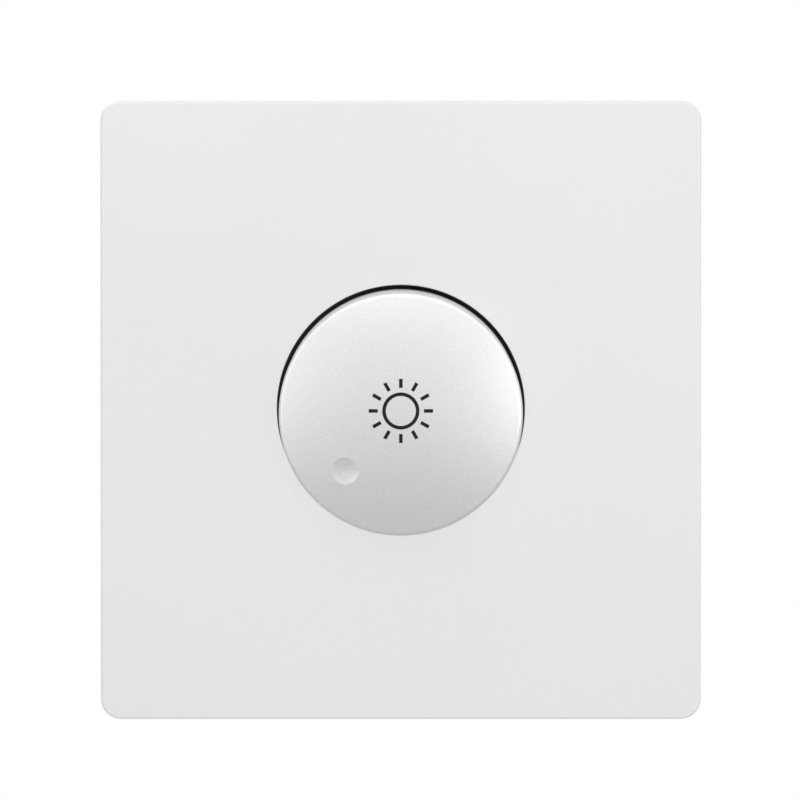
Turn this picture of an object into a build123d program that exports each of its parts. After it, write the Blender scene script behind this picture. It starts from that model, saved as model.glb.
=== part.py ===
from build123d import *
import os
from math import atan, cos, degrees, radians, sin, sqrt, tan

# Rotary dimmer wall switch, in millimetres. X points right and Z up as seen from the room, the front
# faces -Y, the wall's surface is the plane Y = 0 and the knob turns about the Y axis.
# A depth is a Y value: less is nearer the room, more is deeper in the wall.

os.makedirs("parts", exist_ok=True)

# fits, each on the radius or on one face
run_fit = 0.03          # turning shaft in its bore, and axial play of the clip
press_fit = 0.02        # parts pushed together that stay together
thread_fit = 0.03       # screw shank in its tapped or formed hole
loose_fit = 0.2         # plate or board dropped into its pocket

# cover plate
plate_w = 86.0
plate_h = 88.85
plate_depth = 8.0       # front face to wall
plate_corner_r = 2.9
plate_drop = 0.3        # centre of the plate below the knob's axis
plate_edge_r = 0.35     # rounding of the front edge
plate_land = 1.1        # straight edge behind the rounding
plate_lean = 5.5        # degrees the sides lean in towards the wall
plate_front_wall = 2.0
plate_side_wall = 1.6
wall_relief = 0.2       # the cover stops short of the wall, so that the frame seats first
hole_r = 17.7           # opening round the knob
hole_edge_r = 0.2
collar_wall = 1.5
collar_depth = 2.6      # collar behind the front wall
grid_rib_t = 1.2
grid_rib_depth = 1.4
grid_rib_offset = 13.0
post_in_x, post_in_z = 4.0, 13.0     # posts in from the frame's edges
post_span = 6.0
notch_w, notch_depth = 14.0, 1.4

# snap hooks of the cover and their windows in the frame
hook_in = 16.0          # hooks in from the frame's sides
hook_w = 8.0
hook_gap = 0.4
hook_t = 1.5
hook_bite = 0.9
hook_play = 0.05
window_w = 9.0
window_margin = 4.5     # windows in from the frame's top and bottom
window_front_h = 2.2
window_back_h = 3.4
ledge_t = 1.5

# mounting frame
frame_side_gap, frame_end_gap = 5.0, 5.3    # frame inside the plate's outline
frame_t = 3.0
frame_corner_r = 3.0
fixing_centres = 60.3
slot_w = 4.4
slot_len = 7.0
slot_pad = 2.6          # width of the sunk pad round a slot
slot_pad_depth = 0.8
ring_gap = 0.4          # collar inside the frame's ring
ring_wall = 1.2
stiff_rib_w, stiff_rib_h = 1.4, 0.8
stiff_rib_gap = 6.0     # rib beyond the housing screws
stiff_rib_in = 8.0

# heat sink plate in the frame's rear pocket
sink_lip, sink_t = 0.3, 1.2    # plate beyond the housing's outline
sink_corner_r = 2.0

# rear housing
house_w, house_h, house_depth = 50.0, 54.0, 30.0
house_draft = 0.5       # each side draws in by this over the depth
house_corner_r = 3.0
house_edge_r = 1.0      # rounding of the edge round the back
house_wall, house_back = 1.6, 1.8
boss_in, boss_r = 4.4, 3.0
boss_hole_depth = 9.0
vent_w, vent_l, vent_spacing, vent_count = 1.6, 14.0, 3.6, 5
vent_y = 12.0
port_size, port_corner_r = 10.0, 1.0
port_lead, port_lead_slope = 0.8, 45.0     # sloped lead-in round a wire port, slope in degrees
driver_hole_r = 2.4

# housing screws, countersunk
hs_r, hs_head_r, hs_head_h, hs_len = 1.25, 2.4, 1.15, 9.0
hs_sink = 0.05
hs_hole_r = 1.45
driver_slot_w, driver_slot_depth = 0.6, 0.8

# knob
knob_rim_r = 17.46
knob_mouth_r = 17.15    # where the knob passes the cover's front face
knob_skirt_r = 17.08
knob_proud = 9.6        # rim ahead of the cover
knob_crown = 2.5        # dome ahead of the rim
knob_edge_r = 0.6
knob_bevel_w, knob_bevel = 0.6, 18.0    # narrow bevel in from the rim, and its slope in degrees
knob_wall = 1.8
knob_skirt = 4.0        # skirt inside the cover
hub_r = 5.2
hub_end = -8.4
knob_rib_t, knob_rib_count, knob_rib_end = 1.2, 6, -12.0
dimple_r, dimple_depth, dimple_at = 1.97, 0.26, 11.3
off_angle = 225.0       # clock angle of the dimple and of the stop lug, knob fully anticlockwise
turn_range = 270.0

# shaft, its clip and the knob's spring
shaft_r = 3.0
shaft_front = -15.5
shaft_flat = 1.5        # flat to axis
flat_past_hub = 0.15    # the flat runs on a little behind the hub
spring_t, spring_w = 0.3, 3.6
clip_t, clip_r, clip_seat_r, clip_mouth = 0.5, 4.4, 2.4, 3.4
seat_half = 2.4         # half width of the shaft where the carrier sits
seat_front, seat_back = 1.6, 4.6
tail_r, tail_end = 1.4, 10.4
bore_floor_gap = 0.3

# control: bushing, case, track board, switch
bush_r = 3.5
bush_end = -7.2
bush_flange_t = 1.3
bush_chamfer = 0.3
peg_w, peg_h, peg_z, peg_len = 2.4, 1.6, 6.2, 1.9
nut_flats, nut_t = 10.0, 2.0
washer_r, washer_t = 6.4, 0.5
case_r, case_wall, case_end = 8.5, 0.5, 9.0
track_front, track_t, track_hole_r = 7.3, 1.2, 1.8
tag_w, tag_t, tag_spacing, tag_z, tag_root_z = 1.2, 0.5, 3.5, -10.2, -5.5
switch_w, switch_h, switch_depth = 16.0, 14.0, 5.4
switch_bore_clear, switch_bore_depth = 0.1, 1.8
strap_w, strap_turn = 4.0, 1.6
pin_w, pin_t, pin_x = 2.0, 0.6, 4.0

# wiper carrier and stop
carrier_r, lug_r, lug_half = 6.4, 7.6, 25.0
stop_inner_r, stop_front, stop_back = 7.0, 2.2, 4.2
stop_gap = 0.5          # degrees left at each end of the turn
wiper_t, wiper_in_r, wiper_out_r = 0.3, 4.0, 6.0
finger_w, finger_l, finger_r = 1.0, 1.0, 5.2
wiper_play = 0.03

# circuit board
board_t, board_front = 1.6, 16.0
board_gap = 0.1         # board inside the housing's narrow end
board_boss_gap = 0.6
board_post_in, board_post_r = 3.6, 2.6
bs_r, bs_head_r, bs_head_h, bs_len = 1.0, 2.0, 1.4, 6.0

# terminals
term_in, term_up = 10.8, 7.8    # terminals in from the board's edges
term_w, term_h, term_len = 8.0, 8.0, 10.0
wire_r = 1.7
ts_r, ts_head_r, ts_head_h = 1.45, 1.9, 2.0
ts_y = 5.0              # clamp screw behind the board
ts_tip_gap = 0.3
ts_shank = 3.2

# components on the front of the board
triac_x, triac_z = -14.5, -12.0
triac_w, triac_h, triac_t = 10.0, 9.0, 3.2
tab_t, tab_extra, tab_hole_up = 1.3, 6.0, 3.0
lead_w, lead_t, lead_spacing, lead_out = 0.8, 0.5, 2.54, 1.5
m3_r, m3_head_r, m3_head_h = 1.5, 2.7, 1.8
choke_x, choke_z, choke_r, choke_core_r, choke_len, choke_rim = -12.5, 14.2, 6.3, 3.0, 12.0, 1.5
film_x, film_z, film_w, film_h, film_len = 10.5, 16.3, 13.0, 6.0, 11.0
timing_x, timing_z, timing_w, timing_h, timing_len = 12.5, 10.2, 7.2, 3.0, 6.0
axial_x, axial_z, axial_spacing, axial_lead_r, axial_lift = -0.7, 15.5, 2.9, 0.3, 1.3
resistor_r, resistor_len, resistor_span = 1.1, 6.2, 9.6
diode_r, diode_len, diode_span = 0.9, 3.8, 7.6
fuse_in, fuse_z, fuse_len, fuse_r, fuse_wall, fuse_lift = 12.3, -13.5, 20.0, 2.5, 0.5, 4.6
fuse_cap_len, fuse_cap_r = 5.0, 2.6
fuse_clip_len, fuse_clip_t, fuse_clip_h = 3.6, 0.4, 6.4

# depths that follow from the sizes above
front = -plate_depth
ceiling = front + plate_front_wall
cover_back = -wall_relief
frame_front = -frame_t
frame_w = plate_w - 2 * frame_side_gap
frame_h = plate_h - 2 * frame_end_gap
post_x, post_z = frame_w / 2 - post_in_x, frame_h / 2 - post_in_z
hook_x = frame_w / 2 - hook_in
window_z = frame_h / 2 - window_margin
hook_z = window_z + hook_gap
sink_w, sink_h = house_w + 2 * sink_lip, house_h + 2 * sink_lip
boss_x, boss_z = house_w / 2 - boss_in, house_h / 2 - boss_in
stiff_rib_z = boss_z + stiff_rib_gap
board_w = house_w - 2 * (house_wall + house_draft + board_gap)
board_h = house_h - 2 * (house_wall + house_draft + board_gap)
board_post_x = board_w / 2 - board_post_in
term_x, term_z = board_w / 2 - term_in, term_up - board_h / 2
fuse_x = board_w / 2 - fuse_in
track_back = track_front + track_t
ring_h = frame_front - ceiling - grid_rib_depth - loose_fit
board_back = board_front + board_t
rim_depth = front - knob_proud
apex = rim_depth - knob_crown
dome_r = (knob_rim_r**2 + knob_crown**2) / (2 * knob_crown)
dome_centre = apex + dome_r
flat_end = hub_end + flat_past_hub


def clock(radius, angle):
    """Point at a radius and clock angle, as seen from the room."""
    return radius * sin(radians(angle)), radius * cos(radians(angle))


def slab(outline, near, far):
    """An outline drawn as seen from the room, filled between two depths."""
    return extrude(Plane.XZ.offset(-far) * outline, far - near)


def drawn(outline, near, far, lean):
    """A moulded form whose sides lean in, by some degrees, to an outline at its far end."""
    return extrude(Plane.XZ.offset(-far) * outline, far - near, taper=-lean)


def turned(points):
    """A closed profile of (radius, depth) points turned about the knob's axis."""
    return revolve(make_face(Polyline(*points, close=True)), Axis.Y)


def disc(radius, near, far, x=0.0, z=0.0):
    return slab(Pos(x, z) * Circle(radius), near, far)


def block(x, near, z, w, length, h):
    """A rectangular block whose near face is at a given depth."""
    return slab(Pos(x, z) * Rectangle(w, h), near, near + length)


def sector(inner, outer, angle, half):
    """Part of a ring, centred on a clock angle."""
    reach = 3 * outer
    wedge = make_face(Polyline((0, 0), clock(reach, angle - half), clock(reach, angle + half), close=True))
    return (Circle(outer) - Circle(inner)) & wedge


def corners(x, z):
    return [(sx * x, sz * z) for sx in (-1, 1) for sz in (-1, 1)]


def slots(width, length):
    """The two fixing slots, side by side on the horizontal centre line."""
    return Sketch() + [Pos(side * fixing_centres / 2, 0) * SlotOverall(length, width) for side in (-1, 1)]


def driver_slot(radius, near):
    """The screwdriver slot across a screw's head."""
    return block(0, near, 0, 2 * radius, driver_slot_depth, driver_slot_w)


# cover plate and knob, the parts on show


def cover_plate():
    lean = (cover_back - front - plate_land) * tan(radians(plate_lean))
    centre = Pos(0, -plate_drop)
    face = RectangleRounded(plate_w, plate_h, plate_corner_r)
    rear = RectangleRounded(plate_w - 2 * lean, plate_h - 2 * lean, plate_corner_r - lean)
    inner = RectangleRounded(
        plate_w - 2 * lean - 2 * plate_side_wall,
        plate_h - 2 * lean - 2 * plate_side_wall,
        plate_corner_r - plate_side_wall,
    )
    body = slab(centre * face, front, front + plate_land)
    body += drawn(centre * rear, front + plate_land, cover_back, plate_lean)
    body = fillet(body.faces().sort_by(Axis.Y)[0].edges(), plate_edge_r)
    body -= slab(centre * inner, ceiling, cover_back)
    body -= disc(hole_r, front, cover_back)
    hole_edges = body.edges().filter_by(GeomType.CIRCLE).group_by(SortBy.RADIUS)[-1]
    body = fillet(hole_edges.sort_by(Axis.Y)[0], hole_edge_r)
    # stiffening grid, collar round the knob, and posts that seat on the frame
    grid = Sketch()
    across, along = plate_w - 2 * plate_side_wall, plate_h - 2 * plate_side_wall
    for side in (-1, 1):
        grid += Pos(0, side * grid_rib_offset) * Rectangle(across, grid_rib_t)
        grid += Pos(side * grid_rib_offset, -plate_drop) * Rectangle(grid_rib_t, along)
    body += slab(grid - Circle(hole_r + collar_wall / 2), ceiling, ceiling + grid_rib_depth)
    body += slab(Circle(hole_r + collar_wall) - Circle(hole_r), ceiling, ceiling + collar_depth)
    for x, z in corners(post_x, post_z):
        cross = Rectangle(post_span, grid_rib_t) + Rectangle(grid_rib_t, post_span)
        body += slab(Pos(x, z) * cross, ceiling, frame_front)
    for x, z in corners(hook_x, 1):
        body += snap_hook(x, z)
    bottom = -plate_drop - plate_h / 2
    return body - block(0, cover_back - notch_depth, bottom, notch_w, notch_depth, 4 * plate_side_wall)


def snap_hook(x, side):
    """A springy arm behind the cover whose barb catches behind the ledge of a frame window."""
    catch = -ledge_t + hook_play
    top = hook_z + hook_t
    tip = cover_back - wall_relief
    profile = make_face(Polyline(
        (ceiling, hook_z), (tip, hook_z), (tip, top), (catch + hook_bite / 2, top + hook_bite),
        (catch, top + hook_bite), (catch, top), (ceiling, top), close=True,
    ))
    arm = extrude(Plane.YZ.offset(x - hook_w / 2) * profile, hook_w)
    return arm if side > 0 else mirror(arm, Plane.XY)


def knob():
    # rim and skirt turned with a bevelled top, which the ball of the dome then cuts
    skirt_end = front + knob_skirt
    slope = tan(radians(knob_bevel))
    bevel_r = knob_rim_r - knob_bevel_w
    bevel_top = dome_centre - sqrt(dome_r**2 - bevel_r**2)
    rim = (knob_rim_r, bevel_top + knob_bevel_w * slope)
    ahead = apex - knob_edge_r
    top_r = bevel_r - (bevel_top - ahead) / slope
    outline = make_face(Polyline(
        (0, skirt_end), (knob_skirt_r, skirt_end), (knob_mouth_r, front), rim, (top_r, ahead), (0, ahead),
        close=True,
    ))
    outline = fillet(outline.vertices().sort_by(Axis.X)[-1], knob_edge_r)
    body = revolve(outline, Axis.Y) & Pos(0, dome_centre, 0) * Sphere(dome_r)
    # hollow under the dome, kept clear of the hub and its ribs
    inner_r, inner_dome = knob_skirt_r - knob_wall, dome_r - knob_wall
    shoulder = dome_centre - sqrt(inner_dome**2 - inner_r**2)
    hollow = turned([
        (0, dome_centre - inner_dome), (inner_r, shoulder), (inner_r, skirt_end), (0, skirt_end)
    ])
    ribs = Sketch() + [
        Rot(0, 0, turn * 180 / knob_rib_count) * Rectangle(2 * knob_rim_r, knob_rib_t)
        for turn in range(0, knob_rib_count, 2)
    ]
    hollow -= slab(ribs, apex, knob_rib_end)
    hollow -= disc(hub_r, apex, hub_end)
    body -= hollow
    bore = Circle(shaft_r + press_fit) & flat_side(shaft_flat + spring_t + press_fit)
    body -= slab(bore, shaft_front - bore_floor_gap, hub_end)
    # finger dimple sunk in the dome at the pointer position
    cap = dimple_depth - (dome_r - sqrt(dome_r**2 - dimple_r**2))
    ball_r = (dimple_r**2 + cap**2) / (2 * cap)
    reach = dome_r + ball_r - dimple_depth
    x, z = clock(dimple_at / dome_r * reach, off_angle)
    y = dome_centre - sqrt(reach**2 - x**2 - z**2)
    return body - Pos(x, y, z) * Sphere(ball_r)


def flat_side(distance):
    """Everything on the shaft's side of a flat that faces +X."""
    size = 4 * shaft_r
    return Pos(distance - size / 2, 0) * Rectangle(size, size)


def knob_spring():
    """Leaf spring between the hub and the flat of the shaft."""
    x = shaft_flat + press_fit + spring_t / 2
    return block(x, shaft_front, 0, spring_t, hub_end - shaft_front, spring_w)


# mounting frame, heat sink and rear housing


def mounting_frame():
    body = slab(RectangleRounded(frame_w, frame_h, frame_corner_r), frame_front, 0)
    ring_in = hole_r + collar_wall + ring_gap
    body += slab(Circle(ring_in + ring_wall) - Circle(ring_in), frame_front - ring_h, frame_front)
    for side in (-1, 1):
        rib = Pos(0, side * stiff_rib_z) * Rectangle(frame_w - 2 * stiff_rib_in, stiff_rib_w)
        body += slab(rib, frame_front - stiff_rib_h, frame_front)
    pocket = RectangleRounded(sink_w + 2 * loose_fit, sink_h + 2 * loose_fit, sink_corner_r)
    body -= slab(pocket, -sink_t, 0)
    body -= disc(bush_r + loose_fit, frame_front, 0)
    body -= peg_slot(frame_front)
    body -= slab(slots(slot_w, slot_len), frame_front, 0)
    pads = slots(slot_w + 2 * slot_pad, slot_len + 2 * slot_pad)
    body -= slab(pads, frame_front, frame_front + slot_pad_depth)
    for x, z in corners(hook_x, 1):
        for near, far, height in ((frame_front, -ledge_t, window_front_h), (-ledge_t, 0, window_back_h)):
            body -= block(x, near, z * (window_z + height / 2), window_w, far - near, height)
    for x, z in corners(boss_x, boss_z):
        body -= Pos(x, 0, z) * countersink()
    return body


def countersink():
    """Clearance hole and countersink for a housing screw."""
    wide = hs_head_r + press_fit
    return turned([
        (0, frame_front), (wide, frame_front), (wide, frame_front + hs_sink),
        (hs_hole_r, frame_front + hs_head_h), (hs_hole_r, 0), (0, 0),
    ])


def peg_slot(near):
    return block(0, near, peg_z, peg_w + 2 * loose_fit, -near, peg_h + 2 * loose_fit)


def heat_sink():
    body = slab(RectangleRounded(sink_w, sink_h, sink_corner_r), -sink_t, 0)
    body -= disc(bush_r + loose_fit, -sink_t, 0)
    body -= peg_slot(-sink_t)
    body -= disc(m3_r + thread_fit, -sink_t, 0, triac_x, tab_hole_z())
    for x, z in corners(boss_x, boss_z):
        body -= disc(hs_hole_r, -sink_t, 0, x, z)
    return body


def house_form(floor, inset=0.0):
    """The housing's drafted form down to a floor, inset by a wall."""
    less = house_draft * floor / house_depth + inset
    narrow_end = RectangleRounded(house_w - 2 * less, house_h - 2 * less, house_corner_r - less)
    return drawn(narrow_end, 0, floor, degrees(atan(house_draft / house_depth)))


def rear_housing():
    floor = house_depth - house_back
    shell = house_form(house_depth)
    shell = fillet(shell.faces().sort_by(Axis.Y)[-1].edges(), house_edge_r)
    shell -= house_form(floor, house_wall)
    # cooling slots through the top, the bottom and both sides
    for row in range(vent_count):
        offset = (row - (vent_count - 1) / 2) * vent_spacing
        shell -= Pos(offset, vent_y, 0) * Box(vent_w, vent_l, 2 * house_h)
        shell -= Pos(0, vent_y, offset) * Box(2 * house_w, vent_l, vent_w)
    bosses = Sketch() + [Pos(x, z) * Circle(boss_r) for x, z in corners(boss_x, boss_z)]
    shell += slab(bosses, 0, floor)
    for side in (-1, 1):
        shell += disc(board_post_r, board_back, floor, side * board_post_x)
        shell -= disc(bs_r + thread_fit, board_back, board_back + bs_len, side * board_post_x)
        at = Pos(side * term_x, term_z)
        port = RectangleRounded(port_size, port_size, port_corner_r)
        shell -= slab(at * port, floor, house_depth)
        mouth_size = port_size + 2 * port_lead
        mouth = RectangleRounded(mouth_size, mouth_size, port_corner_r + port_lead)
        shell -= drawn(at * mouth, house_depth - port_lead, house_depth, -port_lead_slope)
        driver = Cylinder(driver_hole_r, 4 * house_wall)
        shell -= Pos(side * term_x, board_back + ts_y, -house_h / 2) * driver
    for x, z in corners(boss_x, boss_z):
        shell -= disc(hs_r + thread_fit, 0, boss_hole_depth, x, z)
    return shell


def housing_screws():
    cone = frame_front + hs_head_h
    screw = turned([
        (0, frame_front + hs_sink), (hs_head_r, frame_front + hs_sink), (hs_r, cone),
        (hs_r, frame_front + hs_len - hs_r), (hs_r / 2, frame_front + hs_len), (0, frame_front + hs_len),
    ])
    screw -= driver_slot(hs_head_r, frame_front)
    return Compound([Pos(x, 0, z) * screw for x, z in corners(boss_x, boss_z)])


# control: bushing, nut, case, shaft and what turns with it


def pot_bushing():
    bore = shaft_r + run_fit
    plate_r = case_r - case_wall - press_fit
    body = turned([
        (bore, bush_end), (bush_r - bush_chamfer, bush_end), (bush_r, bush_end + bush_chamfer),
        (bush_r, 0), (plate_r, 0), (plate_r, bush_flange_t), (bore, bush_flange_t),
    ])
    return body + block(0, -peg_len, peg_z, peg_w, peg_len + bush_flange_t, peg_h)


def bushing_washer():
    return slab(Circle(washer_r) - Circle(bush_r + loose_fit), frame_front - washer_t, frame_front)


def bushing_nut():
    far = frame_front - washer_t
    hexagon = RegularPolygon(nut_flats / 2, 6, major_radius=False)
    nut = slab(hexagon, far - nut_t, far)
    near, corner = far - nut_t, nut_flats / sqrt(3)
    crown = turned([
        (0, near), (nut_flats / 2, near), (corner, near + (corner - nut_flats / 2) / 2),
        (corner, far), (0, far),
    ])
    return (nut & crown) - disc(bush_r + thread_fit, near, far)


def pot_case():
    body = slab(Circle(case_r) - Circle(case_r - case_wall), 0, case_end)
    stop_half = (360 - turn_range) / 2 - lug_half - stop_gap
    # the tab that stops the lug is pressed in from the case wall
    body += slab(sector(stop_inner_r, case_r - case_wall / 2, 180, stop_half), stop_front, stop_back)
    body -= block(0, track_back, -case_r, 3 * tag_spacing, case_end - track_back, case_r)
    switch_back = case_end + switch_depth
    for side in (-1, 1):
        strap = block(side * (case_r - case_wall / 2), case_end, 0, case_wall, switch_depth, strap_w)
        turn = block(side * (case_r - strap_turn / 2), switch_back, 0, strap_turn, case_wall, strap_w)
        ring = Circle(case_r) - Circle(case_r - case_wall)
        root = ring & Pos(side * case_r, 0) * Rectangle(case_r, strap_w)
        body += strap + turn + slab(root, case_end - case_wall, case_end)
    return body


def track_board():
    ring = Circle(case_r - case_wall - press_fit) - Circle(track_hole_r)
    return slab(ring, track_front, track_back)


def pot_tags():
    """Three tags riveted to the track board and bent back to the circuit board."""
    near = track_back
    tag = block(0, near, (tag_root_z + tag_z) / 2, tag_w, tag_t, tag_root_z - tag_z)
    tag += block(0, near, tag_z + tag_t / 2, tag_w, board_front - near, tag_t)
    return Compound([Pos(step * tag_spacing, 0, 0) * tag for step in (-1, 0, 1)])


def switch_module():
    body = block(0, case_end, 0, switch_w, switch_depth, switch_h)
    body = fillet(body.edges().filter_by(Axis.Y), case_wall)
    return body - disc(tail_r + switch_bore_clear, case_end, case_end + switch_bore_depth)


def switch_pins():
    near = case_end + switch_depth
    return Compound([block(side * pin_x, near, 0, pin_w, board_front - near, pin_t) for side in (-1, 1)])


def shaft():
    groove_front = bush_end - run_fit - clip_t - press_fit
    groove_back = bush_end - run_fit + press_fit
    body = turned([
        (0, shaft_front), (shaft_r - bush_chamfer, shaft_front), (shaft_r, shaft_front + bush_chamfer),
        (shaft_r, groove_front), (clip_seat_r, groove_front), (clip_seat_r, groove_back),
        (shaft_r, groove_back), (shaft_r, seat_back), (tail_r, seat_back), (tail_r, tail_end),
        (0, tail_end),
    ])
    size = 4 * shaft_r
    body -= slab(Pos(shaft_flat + size / 2, 0) * Rectangle(size, size), shaft_front, flat_end)
    for side in (-1, 1):
        beside = Pos(side * (seat_half + size / 2), 0) * Rectangle(size, size)
        body -= slab(beside, seat_front - run_fit, seat_back)
    return body


def shaft_clip():
    far = bush_end - run_fit
    ring = Circle(clip_r) - Circle(clip_seat_r + press_fit)
    ring -= Pos(0, -clip_r) * Rectangle(clip_mouth, 2 * clip_r)
    return slab(ring, far - clip_t, far)


def wiper_carrier():
    disc_outline = Circle(carrier_r) + sector(0.5 * carrier_r, lug_r, off_angle, lug_half)
    seat = Circle(shaft_r + press_fit) & Rectangle(2 * (seat_half + press_fit), 4 * shaft_r)
    body = slab(Circle(carrier_r), seat_front, seat_back)
    body += slab(disc_outline, stop_front, stop_back)
    return body - slab(seat, seat_front, seat_back)


def wiper_contacts():
    body = slab(Circle(wiper_out_r) - Circle(wiper_in_r), seat_back, seat_back + wiper_t)
    for side in (-1, 1):
        x, z = clock(finger_r, off_angle + 180 + side * lug_half)
        body += block(x, seat_back, z, finger_w, track_front - wiper_play - seat_back, finger_l)
    return body


# circuit board and what it carries


def circuit_board():
    outline = Rectangle(board_w, board_h)
    for x, z in corners(1, 1):
        notch_w = board_w / 2 - boss_x + boss_r + board_boss_gap
        notch_h = board_h / 2 - boss_z + boss_r + board_boss_gap
        middle = Pos(x * (board_w - notch_w) / 2, z * (board_h - notch_h) / 2)
        outline -= middle * Rectangle(notch_w, notch_h)
    for side in (-1, 1):
        outline -= Pos(side * board_post_x, 0) * Circle(bs_r + loose_fit)
    return slab(outline, board_front, board_back)


def board_screws():
    near = board_front - bs_head_h
    screw = turned([
        (0, near), (bs_head_r, near), (bs_head_r, board_front), (bs_r, board_front),
        (bs_r, board_back + bs_len - bs_r), (bs_r / 2, board_back + bs_len - bs_r / 2),
        (0, board_back + bs_len - bs_r / 2),
    ])
    screw -= driver_slot(bs_head_r, near)
    return Compound([Pos(side * board_post_x, 0, 0) * screw for side in (-1, 1)])


def terminal_block(x):
    """Brass block: the wire enters from the back, the clamp screw from below."""
    body = block(x, board_back, term_z, term_w, term_len, term_h)
    body = chamfer(body.edges().filter_by(Axis.Y), bush_chamfer)
    body -= disc(wire_r, board_back, board_back + term_len, x, term_z)
    tapped = Cylinder(ts_r + thread_fit, term_h / 2, align=(Align.CENTER, Align.CENTER, Align.MAX))
    return body - Pos(x, board_back + ts_y, term_z) * tapped


def terminal_screw(x):
    """Clamp screw, backed off so that the wire's bore is clear."""
    tip = term_z - wire_r - ts_tip_gap
    under_head = tip - ts_shank
    shank = Cylinder(ts_r, ts_shank, align=(Align.CENTER, Align.CENTER, Align.MIN))
    head = Cylinder(ts_head_r, ts_head_h, align=(Align.CENTER, Align.CENTER, Align.MAX))
    screw = Pos(0, 0, under_head) * (shank + head)
    slot = Box(2 * ts_head_r, driver_slot_w, 2 * driver_slot_depth)
    return Pos(x, board_back + ts_y, 0) * (screw - Pos(0, 0, under_head - ts_head_h) * slot)


def tab_hole_z():
    return triac_z + triac_h / 2 + tab_hole_up


def triac_tab():
    height = triac_h + tab_extra
    body = block(triac_x, 0, triac_z + tab_extra / 2, triac_w, tab_t, height)
    return body - disc(m3_r + loose_fit, 0, tab_t, triac_x, tab_hole_z())


def triac_body():
    return block(triac_x, tab_t, triac_z, triac_w, triac_t, triac_h)


def triac_leads():
    edge = triac_z - triac_h / 2
    lead = block(0, tab_t + lead_t, edge - lead_out / 2, lead_w, lead_t, lead_out)
    run = board_front - tab_t - lead_t
    lead += block(0, tab_t + lead_t, edge - lead_out + lead_t / 2, lead_w, run, lead_t)
    return Compound([Pos(triac_x + step * lead_spacing, 0, 0) * lead for step in (-1, 0, 1)])


def triac_screw():
    body = turned([
        (0, -sink_t), (m3_r, -sink_t), (m3_r, tab_t), (m3_head_r, tab_t), (m3_head_r, tab_t + m3_head_h),
        (0, tab_t + m3_head_h),
    ])
    body -= driver_slot(m3_head_r, tab_t + m3_head_h - driver_slot_depth)
    return Pos(triac_x, 0, tab_hole_z()) * body


def choke_core():
    near = board_front - choke_len
    far = board_front
    body = turned([
        (0, near), (choke_r, near), (choke_r, near + choke_rim), (choke_core_r, near + choke_rim),
        (choke_core_r, far - choke_rim), (choke_r, far - choke_rim), (choke_r, far), (0, far),
    ])
    return Pos(choke_x, 0, choke_z) * body


def choke_winding():
    near, far = board_front - choke_len + choke_rim, board_front - choke_rim
    ring = Circle(choke_r - loose_fit) - Circle(choke_core_r)
    return slab(Pos(choke_x, choke_z) * ring, near, far)


def capacitor(x, z, w, h, length):
    body = block(x, board_front - length, z, w, length, h)
    return fillet(body.edges().filter_by(Axis.Y), case_wall)


def axial(radius, length, span, place):
    """A wire-ended component lying upright on the board, its leads bent back into the board."""
    body = Cylinder(radius, length) + Cylinder(axial_lead_r, span + 2 * axial_lead_r)
    for end in (-1, 1):
        body += disc(axial_lead_r, 0, axial_lift, 0, end * span / 2)
    return Pos(axial_x + place * axial_spacing, board_front - axial_lift, axial_z) * body


def resistors():
    return Compound([axial(resistor_r, resistor_len, resistor_span, place) for place in (-1, 0)])


def fuse_axis():
    return Pos(fuse_x, board_front - fuse_lift, fuse_z) * Rot(0, 90, 0)


def fuse_tube():
    length = fuse_len - 2 * fuse_cap_r
    return fuse_axis() * (Cylinder(fuse_r, length) - Cylinder(fuse_r - fuse_wall, length))


def fuse_caps():
    caps = []
    for side in (-1, 1):
        cap = Pos(0, 0, side * (fuse_len - fuse_cap_len) / 2) * Cylinder(fuse_cap_r, fuse_cap_len)
        cap -= Cylinder(fuse_r, fuse_len - 2 * fuse_cap_r)
        caps.append(fuse_axis() * cap)
    return Compound(caps)


def fuse_clips():
    """Two spring clips that rise from the board on both sides of the fuse."""
    clips = []
    outer = Circle(fuse_cap_r + press_fit + fuse_clip_t) - Circle(fuse_cap_r + press_fit)
    outer &= Pos(fuse_cap_r, 0) * Rectangle(2 * fuse_clip_h, 4 * fuse_cap_r) & Pos(
        fuse_clip_h / 2 - fuse_cap_r / 2, 0
    ) * Rectangle(fuse_clip_h, 4 * fuse_cap_r)
    foot = fuse_lift - fuse_cap_r - press_fit
    stem = Pos(fuse_cap_r + press_fit + foot / 2, 0) * Rectangle(foot, 2 * fuse_clip_t)
    for side in (-1, 1):
        x = fuse_x + side * (fuse_len - fuse_cap_len) / 2 - fuse_clip_len / 2
        plane = Plane(origin=(x, board_front - fuse_lift, fuse_z), x_dir=(0, 1, 0), z_dir=(1, 0, 0))
        clips.append(extrude(plane * (outer + stem), fuse_clip_len))
    return Compound(clips)


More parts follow.
